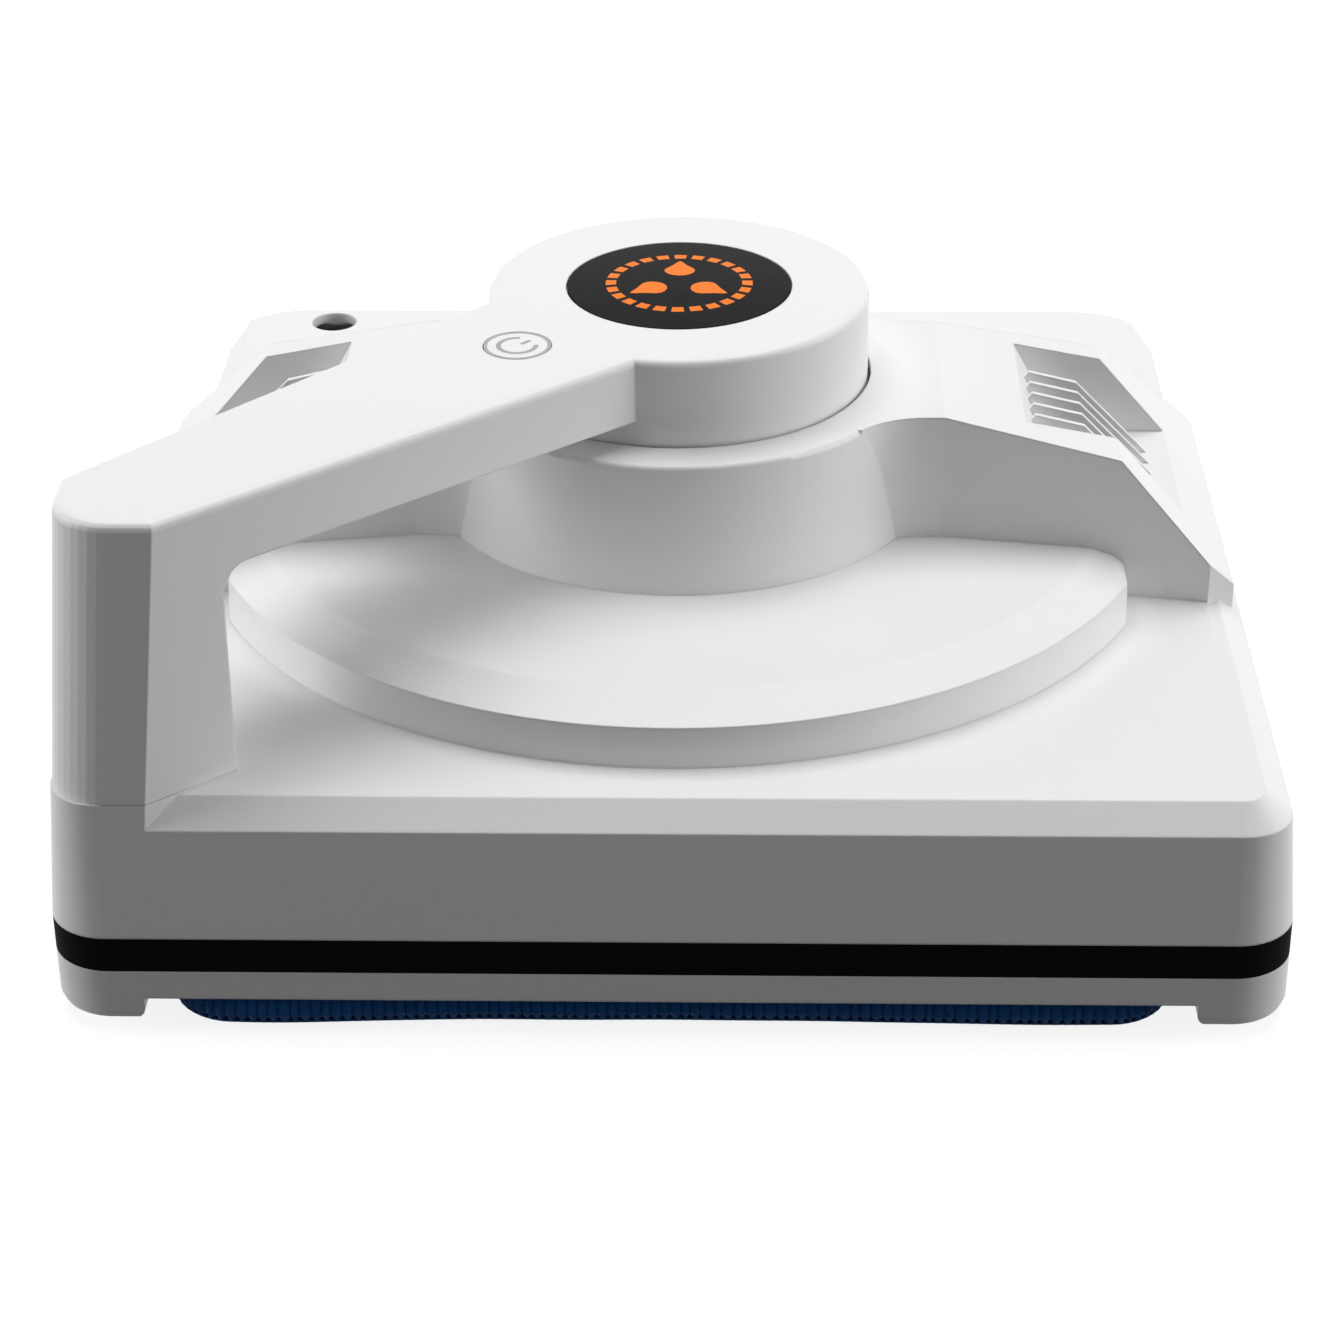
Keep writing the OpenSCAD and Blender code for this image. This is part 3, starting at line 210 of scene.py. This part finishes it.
YARN = {"scale": 900.0, "detail": 3.0, "roughness": 0.7}
STITCH_SCALE = 620.0
STITCH_BUMP = {"Strength": 0.7, "Distance": 0.0003}
HOLLOW_POINT, RIDGE_POINT = 0.44, 0.56  # pointiness where the painted hollow shade is full and where the painted crest light is full
CLOTH_SHADER = {"Roughness": 0.9, "Specular IOR Level": 0.15,
                "Sheen Weight": 0.35, "Sheen Roughness": 0.4}
MIX_FIRST, MIX_SECOND, MIX_COLOR = 6, 7, 2  # colour sockets of a Mix node


def cloth_material(name, hollow_shade_color, light):
    """Knitted microfibre: painted shade in its hollows and painted light where the yarn stands
    up, broken by the yarn's own random tone.
    """
    m, nt, b = new_material(name)
    v = coords(nt)
    yarn = noise(nt, v, **YARN)
    stitches = node(nt, "ShaderNodeTexVoronoi", Scale=STITCH_SCALE)
    nt.links.new(v, stitches.inputs["Vector"])
    point = node(nt, "ShaderNodeNewGeometry").outputs["Pointiness"]
    # painted light and shade: 0 in the hollows, where the colour is painted shade, 1 on the
    # yarn's crests, where it is painted light
    ridge_light_mask = mapped(nt, point, 0.0, 1.0, HOLLOW_POINT, RIDGE_POINT)
    color = node(nt, "ShaderNodeMix", data_type="RGBA")
    color.inputs[MIX_FIRST].default_value = (*hollow_shade_color, 1)
    color.inputs[MIX_SECOND].default_value = (*light, 1)
    nt.links.new(calculated(nt, "MULTIPLY", yarn, ridge_light_mask), color.inputs["Factor"])
    nt.links.new(color.outputs[MIX_COLOR], b.inputs["Base Color"])
    for socket, value in CLOTH_SHADER.items():
        b.inputs[socket].default_value = value
    bump = node(nt, "ShaderNodeBump", **STITCH_BUMP)
    nt.links.new(stitches.outputs["Distance"], bump.inputs["Height"])
    nt.links.new(bump.outputs["Normal"], b.inputs["Normal"])
    return m


# The first colour is painted shade for the cloth's hollows, the second painted light for the
# yarn's crests.
cloth_blue = cloth_material("cloth_blue", (0.0015, 0.018, 0.08), (0.012, 0.18, 0.58))

LOOKS = (
    (white, ("upper_shell", "handle_cover", "power_button")),
    (pale, ("handle_base", "lower_frame")),
    (badge_black, ("hub_badge",)),
    (band, ("perimeter_band", "hook_strips")),
    (cloth_blue, ("cloth_pad",)),
    (grey, ("base_plate", "track_frame_left", "track_frame_right")),
    (dark, ("inlet_grille", "suction_duct", "fan_housing", "fan_lid", "battery_tray",
            "power_socket", "exhaust_duct_left", "exhaust_duct_right", "drive_wheel_left",
            "drive_wheel_right", "idler_wheel_left", "idler_wheel_right")),
    (light_grey, ("impeller",)),
    (rubber, ("belt_left", "belt_right")),
    (board, ("main_board", "button_board", "fan_driver_board")),
    (chips, ("board_parts", "button_switch", "edge_sensors")),
    (cell, ("battery_cells",)),
    (cream, ("gearbox_left", "gearbox_right")),
)
LOOK = {name: material for material, names in LOOKS for name in names}

# Shafts, pins, motors and screws are steel.
for name, o in nodes.items():
    o.data.materials.clear()
    o.data.materials.append(LOOK.get(name, steel))


def add_mesh(name, verts, faces, material, body):
    """A new piece from vertices in millimetres, riding on a body."""
    mesh = bpy.data.meshes.new(name)
    mesh.from_pydata([(x * MM, y * MM, z * MM) for x, y, z in verts], [], faces)
    mesh.validate()
    mesh.update()
    mesh.shade_smooth()
    mesh.materials.append(material)
    o = bpy.data.objects.new(name, mesh)
    bpy.context.scene.collection.objects.link(o)
    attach(o, body)
    return o


# Cleaning cloth: a padded ring with ribbed sides, lengths in millimetres

CLOTH_REACH = 118.0   # from the middle to a side
CLOTH_SIDE = 97.5     # half the length of a side
CLOTH_OPEN = 78.0     # half the opening
CLOTH_OPEN_R = 12.0   # corners of the opening
CLOTH_T = 6.7
CLOTH_CORNER = 12.0   # round ends of a side
CLOTH_HOLLOW = 2.0    # hollow corner between two sides
CLOTH_EDGE = 2.9      # how far the outer edge rounds in, above and below
INNER_EDGE = CLOTH_EDGE * 0.6
END_STEPS, HOLLOW_STEPS = 16, 5

RIB_PITCH = 2.05
RIB_STEPS = 8
RIB_JITTER = 0.16     # share of a pitch
RIB_LIFT = 0.09
RIB_DEPTH, RIB_BASE, RIB_ANGLES = 0.34, 0.1, (-22, 62)
NOTCH_DEPTH, NOTCH_BASE, NOTCH_ANGLE = 1.05, 0.12, -40
NOTCH_WIDTH, NOTCH_POWER = 2.4, 1.2
UNDER_RIB = 0.12

BULGE_Y = -100        # the bulges are in front of this
BULGES = ((1.85, -76, 24), (0.75, 74, 26))  # height, middle and width
LUMP_SEED, LUMP_COUNT = 7, 5
LUMP_WAVES, LUMP_HEIGHTS = (9, 34), (0.04, 0.1)
NAP_HEIGHT, NAP_WAVE, NAP_SWAY, NAP_TURN = 0.16, 3.1, 0.7, 0.37

# Where the points of a section of the cloth are: angles of its two edges, shares of its faces.
EDGE_ANGLES = (90, 62, 40, 22, 8, -6, -17, -27, -36, -46, -58, -72, -90)
BOTTOM_SHARES = (0.08, 0.2, 0.35, 0.5, 0.65, 0.8, 0.92)
INNER_ANGLES = (-90, -45, 0, 45, 90)
TOP_SHARES = (0.35, 0.7)


def cos_sin(degrees):
    return math.cos(math.radians(degrees)), math.sin(math.radians(degrees))


def arc(cx, cy, r, a0, a1, n):
    return [(cx + r * c, cy + r * s) for c, s in (cos_sin(a0 + (a1 - a0) * i / n)
                                                  for i in range(n + 1))]


def cross_outline(reach, side, r, hollow):
    """The outline of the cloth: four sides with round ends, meeting in hollow corners."""
    points = []
    for k in range(4):
        c, s = cos_sin(90 * k)
        part = (arc(reach - r, side - r, r, 0, 90, END_STEPS)
                + arc(side + hollow, side + hollow, hollow, 270, 180, HOLLOW_STEPS)
                + arc(side - r, reach - r, r, 0, 90, END_STEPS))
        points += [(x * c - y * s, x * s + y * c) for x, y in part]
    return points


def even_points(points, pitch, steps):
    """The closed outline again, at equal distances, with a whole number of pitches round."""
    ring = points + [points[0]]
    lengths = [math.dist(ring[i], ring[i + 1]) for i in range(len(points))]
    total = sum(lengths)
    n = round(total / pitch) * steps
    out = []
    i, gone = 0, 0.0
    for k in range(n):
        want = total * k / n
        while gone + lengths[i] < want and i < len(points) - 1:
            gone += lengths[i]
            i += 1
        t = (want - gone) / lengths[i] if lengths[i] else 0
        a, b = ring[i], ring[i + 1]
        out.append((a[0] + (b[0] - a[0]) * t, a[1] + (b[1] - a[1]) * t))
    return out


def opening_at(angle, half, r):
    """Distance from the middle to the edge of the cloth's opening, along an angle."""
    c, s = abs(math.cos(angle)), abs(math.sin(angle))
    flat = half / max(c, s)
    if min(c, s) * flat > half - r:
        m = (half - r) * (c + s)
        return m + math.sqrt(max(m * m - (2 * (half - r) ** 2 - r * r), 0))
    return flat


def bulge(x, y):
    """How far the loose cloth stands out at the front."""
    if y > BULGE_Y:
        return 0.0
    return sum(height * math.exp(-((x - middle) / width) ** 2)
               for height, middle, width in BULGES)


def rib_depth(angle, ridge, phase):
    """How far the ribs and the notches under them go in, at an angle of the outer edge."""
    lowest, highest = RIB_ANGLES
    if angle > highest:
        return 0.0
    if angle >= lowest:
        return RIB_DEPTH * (1 - ridge) + RIB_BASE
    if angle >= NOTCH_ANGLE:
        open_share = max(0.0, 1 - NOTCH_WIDTH * abs(phase - 0.5))
        return NOTCH_DEPTH * open_share ** NOTCH_POWER + NOTCH_BASE
    return -UNDER_RIB * ridge


def section(k, point, outward, loose, phase):
    """The points of one section: outer edge, glass side, inner edge and upper side."""
    x, y = point
    half_t = CLOTH_T / 2
    ridge = abs(math.cos(math.pi * phase))
    column = []
    for a in EDGE_ANGLES:
        c, s = cos_sin(a)
        out = loose - CLOTH_EDGE * (1 - c) - rib_depth(a, ridge, phase)
        z = half_t + half_t * s + RIB_LIFT * (ridge - 0.5) * c
        column.append((x + outward[0] * out, y + outward[1] * out, max(z, 0.0)))
    ox, oy = column[-1][:2]
    reach, bearing = math.hypot(ox, oy), math.atan2(oy, ox)
    ux, uy = math.cos(bearing), math.sin(bearing)
    inner = opening_at(math.atan2(y, x), CLOTH_OPEN, CLOTH_OPEN_R)
    start = inner + INNER_EDGE
    for share in BOTTOM_SHARES:
        r = reach + (start - reach) * share
        wave = math.sin(r * NAP_WAVE + NAP_SWAY * math.sin(k * NAP_TURN))
        column.append((ux * r, uy * r, NAP_HEIGHT * (0.5 + 0.5 * wave)))
    for a in INNER_ANGLES:
        c, s = cos_sin(a)
        r = inner + INNER_EDGE * (1 - c)
        column.append((ux * r, uy * r, half_t + half_t * s))
    for share in TOP_SHARES:
        r = start + (reach - start) * share
        column.append((ux * r, uy * r, CLOTH_T))
    return column


def build_cloth():
    outline = cross_outline(CLOTH_REACH, CLOTH_SIDE, CLOTH_CORNER, CLOTH_HOLLOW)
    ring = even_points(outline, RIB_PITCH, RIB_STEPS)
    n = len(ring)
    rng = random.Random(LUMP_SEED)
    lumps = [(rng.uniform(0, 2 * math.pi), rng.uniform(*LUMP_WAVES), rng.uniform(*LUMP_HEIGHTS))
             for _ in range(LUMP_COUNT)]
    jitter = [rng.uniform(-RIB_JITTER, RIB_JITTER) for _ in range(n // RIB_STEPS + 1)]
    verts, faces = [], []
    for k, (x, y) in enumerate(ring):
        ax, ay = ring[k - 1]
        bx, by = ring[(k + 1) % n]
        tx, ty = bx - ax, by - ay
        length = math.hypot(tx, ty)
        rib = k / RIB_STEPS
        phase = (rib + jitter[int(rib)] * math.sin(math.pi * (rib % 1))) % 1
        loose = bulge(x, y)
        for shift, waves, height in lumps:
            loose += height * math.sin(2 * math.pi * k / n * waves + shift)
        column = section(k, (x, y), (ty / length, -tx / length), loose, phase)
        rows = len(column)
        verts += column
    for k in range(n):
        k2 = (k + 1) % n
        for j in range(rows):
            j2 = (j + 1) % rows
            faces.append((k * rows + j, k * rows + j2, k2 * rows + j2, k2 * rows + j))
    cloth = add_mesh("cleaning_cloth", verts, faces, cloth_blue, "chassis")
    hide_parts("cloth_pad")


build_cloth()


# Printed signs and a painted gap shade: lengths in millimetres, angles in degrees

INK = 0.012        # height above the surface
RAY_START = 0.01   # metres above the node
TICKS, TICK_RING, TICK_HALF, TICK_STEPS = 24, (13.2, 15.4), 5, 4
DROP_ANGLES, DROP_DISTANCE, DROP_SIZE = (90, 210, 330), 6.6, 3.3
DROP_STEPS, DROP_ROWS = 18, 3
DROP_POINT, DROP_POINT_POWER, DROP_WAIST = 0.55, 6, 0.45
POWER_TURN, POWER_GAP = 45, 40
POWER_RING, POWER_STEPS = (3.3, 4.3), 40
POWER_BAR, POWER_BAR_HALF = (1.0, 3.5), 0.48
# painted shade: a grey ring on the cap that stands for the shaded gap round it
GAP_SHADE_RING, GAP_SHADE_STEPS = (6.1, 6.6), 72


def on_surface(node_name, points):
    """Puts flat points on the upper face of a node, a hair above it."""
    tree = BVHTree.FromObject(nodes[node_name], bpy.context.evaluated_depsgraph_get())
    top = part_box(node_name)[1][2] + RAY_START
    out = []
    for x, y in points:
        hit = tree.ray_cast(Vector((x * MM, y * MM, top)), Vector((0, 0, -1)))[0]
        out.append((x, y, hit.z / MM + INK))
    return out


def ring_part(radii, a0, a1, n, cx=0.0, cy=0.0):
    """Points and faces of a part of a flat ring."""
    pts = []
    for i in range(n + 1):
        c, s = cos_sin(a0 + (a1 - a0) * i / n)
        pts += [(cx + r * c, cy + r * s) for r in radii]
    return pts, [(2 * i, 2 * i + 1, 2 * i + 3, 2 * i + 2) for i in range(n)]


def drop(distance, size, angle):
    """A water drop whose point looks away from the middle."""
    pts, faces = [], []
    turn_c, turn_s = cos_sin(angle)
    for j in range(DROP_ROWS + 1):
        r = size * (j / DROP_ROWS)
        for i in range(DROP_STEPS):
            t = 2 * math.pi * i / DROP_STEPS
            ahead = max(math.cos(t), 0)
            x = distance + r * math.cos(t) * (1 + DROP_POINT * ahead ** DROP_POINT_POWER)
            y = r * math.sin(t) * (1 - DROP_WAIST * ahead)
            pts.append((x * turn_c - y * turn_s, x * turn_s + y * turn_c))
    for j in range(DROP_ROWS):
        near, far = j * DROP_STEPS, (j + 1) * DROP_STEPS
        for i in range(DROP_STEPS):
            i2 = (i + 1) % DROP_STEPS
            if j == 0:
                faces.append((0, far + i, far + i2))
            else:
                faces.append((near + i, far + i, far + i2, near + i2))
    return pts, faces


def join(parts):
    pts, faces = [], []
    for p, f in parts:
        faces += [tuple(i + len(pts) for i in face) for face in f]
        pts += p
    return pts, faces


def build_badge_sign():
    middles = [360 * k / TICKS for k in range(TICKS)]
    parts = [ring_part(TICK_RING, a - TICK_HALF, a + TICK_HALF, TICK_STEPS) for a in middles]
    parts += [drop(DROP_DISTANCE, DROP_SIZE, a) for a in DROP_ANGLES]
    pts, faces = join(parts)
    add_mesh("badge_sign", on_surface("hub_badge", pts), faces, orange_ink, "chassis")


def build_button_sign_and_gap_shade():
    """The common sign for power, turned towards the hub, with a thin ring round it that is
    painted shade of the gap round the cap.
    """
    lo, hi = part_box("power_button")
    cx, cy = (lo[0] + hi[0]) / 2 / MM, (lo[1] + hi[1]) / 2 / MM
    c, s = cos_sin(POWER_TURN)
    near, far = POWER_BAR
    half = POWER_BAR_HALF
    bar = [(cx + u * c - w * s, cy + u * s + w * c)
           for u, w in ((near, -half), (near, half), (far, half), (far, -half))]
    pts, faces = join([
        ring_part(POWER_RING, POWER_TURN + POWER_GAP, POWER_TURN + 360 - POWER_GAP,
                  POWER_STEPS, cx, cy),
        (bar, [(0, 1, 2, 3)]),
        # painted shade of the gap round the cap, in the same grey
        ring_part(GAP_SHADE_RING, 0, 360, GAP_SHADE_STEPS, cx, cy),
    ])
    add_mesh("power_sign_and_gap_shade", on_surface("power_button", pts), faces, grey_ink_and_gap_shade, "button")


build_badge_sign()
build_button_sign_and_gap_shade()


# Studio: lengths in metres, strengths in watts

# Name, azimuth from the front towards the right, elevation, distance, strength, width, height.
SOFTBOXES = (
    ("top_light", 180, 77, 1.4, 15.6, 1.2, 1.0),
    ("right_light", 86, 16, 1.6, 12.6, 1.0, 0.8),
    ("left_light", -88, 16, 1.6, 11.4, 1.0, 0.8),
)
LIGHT_AIM = Vector((0, 0, 0.05))

WHITE = (1, 1, 1, 1)
ROOM_LIGHT = 0.085
FLOOR_Z = -0.0004
FLOOR_REACH = 3.0
FLOOR_COLOR = (0.3, 0.3, 0.3, 1)
GLOW_NEAR, GLOW_FAR = 0.86, 1.0
FADE_START, FADE_END = 0.2, 0.7


def softbox(name, azimuth, elevation, distance, power, width, height):
    az, el = math.radians(azimuth), math.radians(elevation)
    data = bpy.data.lights.new(name, "AREA")
    data.energy = power
    data.shape = "RECTANGLE"
    data.size, data.size_y = width, height
    o = bpy.data.objects.new(name, data)
    bpy.context.scene.collection.objects.link(o)
    o.location = (distance * math.sin(az) * math.cos(el),
                  -distance * math.cos(az) * math.cos(el), distance * math.sin(el))
    o.rotation_mode = "QUATERNION"
    o.rotation_quaternion = (LIGHT_AIM - o.location).to_track_quat("-Z", "Y")


for values in SOFTBOXES:
    softbox(*values)


def seen_rays(nt):
    """1 for rays from the camera, in reflections and through clear pieces, 0 for the rest."""
    rays = node(nt, "ShaderNodeLightPath")
    seen = rays.outputs["Is Camera Ray"]
    for kind in ("Is Glossy Ray", "Is Transmission Ray"):
        seen = calculated(nt, "MAXIMUM", seen, rays.outputs[kind])
    return seen


def floor_material():
    """White from above to the eye and in reflections, with the object's soft shadow.

    Every other ray goes through it, so it sends no light back to the object.
    """
    mat, nt, out = new_tree("floor_white")
    place = node(nt, "ShaderNodeNewGeometry")
    far = node(nt, "ShaderNodeVectorMath", operation="LENGTH")
    nt.links.new(place.outputs["Position"], far.inputs[0])
    fade = mapped(nt, far.outputs["Value"], GLOW_NEAR, GLOW_FAR, FADE_START, FADE_END)
    glow = node(nt, "ShaderNodeEmission")
    nt.links.new(fade, glow.inputs["Strength"])
    lit = node(nt, "ShaderNodeAddShader")
    nt.links.new(node(nt, "ShaderNodeBsdfDiffuse", Color=FLOOR_COLOR).outputs[0], lit.inputs[0])
    nt.links.new(glow.outputs[0], lit.inputs[1])
    above = calculated(nt, "SUBTRACT", 1.0, place.outputs["Backfacing"])
    shown = calculated(nt, "MULTIPLY", seen_rays(nt), above)
    clear = node(nt, "ShaderNodeBsdfTransparent").outputs[0]
    nt.links.new(mixed(nt, shown, clear, lit.outputs[0]), out.inputs["Surface"])
    return mat


def build_floor():
    mesh = bpy.data.meshes.new("floor")
    r = FLOOR_REACH
    mesh.from_pydata([(-r, -r, FLOOR_Z), (r, -r, FLOOR_Z), (r, r, FLOOR_Z), (-r, r, FLOOR_Z)],
                     [], [(0, 1, 2, 3)])
    floor = bpy.data.objects.new("floor", mesh)
    bpy.context.scene.collection.objects.link(floor)
    mesh.materials.append(floor_material())


def make_world():
    """White where it is seen, and a faint even light for the rest."""
    w = bpy.data.worlds.new("studio")
    bpy.context.scene.world = w
    w.use_nodes = True
    nt = w.node_tree
    nt.nodes.clear()
    out = nt.nodes.new("ShaderNodeOutputWorld")
    room, seen = [node(nt, "ShaderNodeBackground", Color=WHITE, Strength=strength).outputs[0]
                  for strength in (ROOM_LIGHT, 1.0)]
    nt.links.new(mixed(nt, seen_rays(nt), room, seen), out.inputs["Surface"])


build_floor()
make_world()
bpy.context.scene.view_settings.view_transform = "Standard"
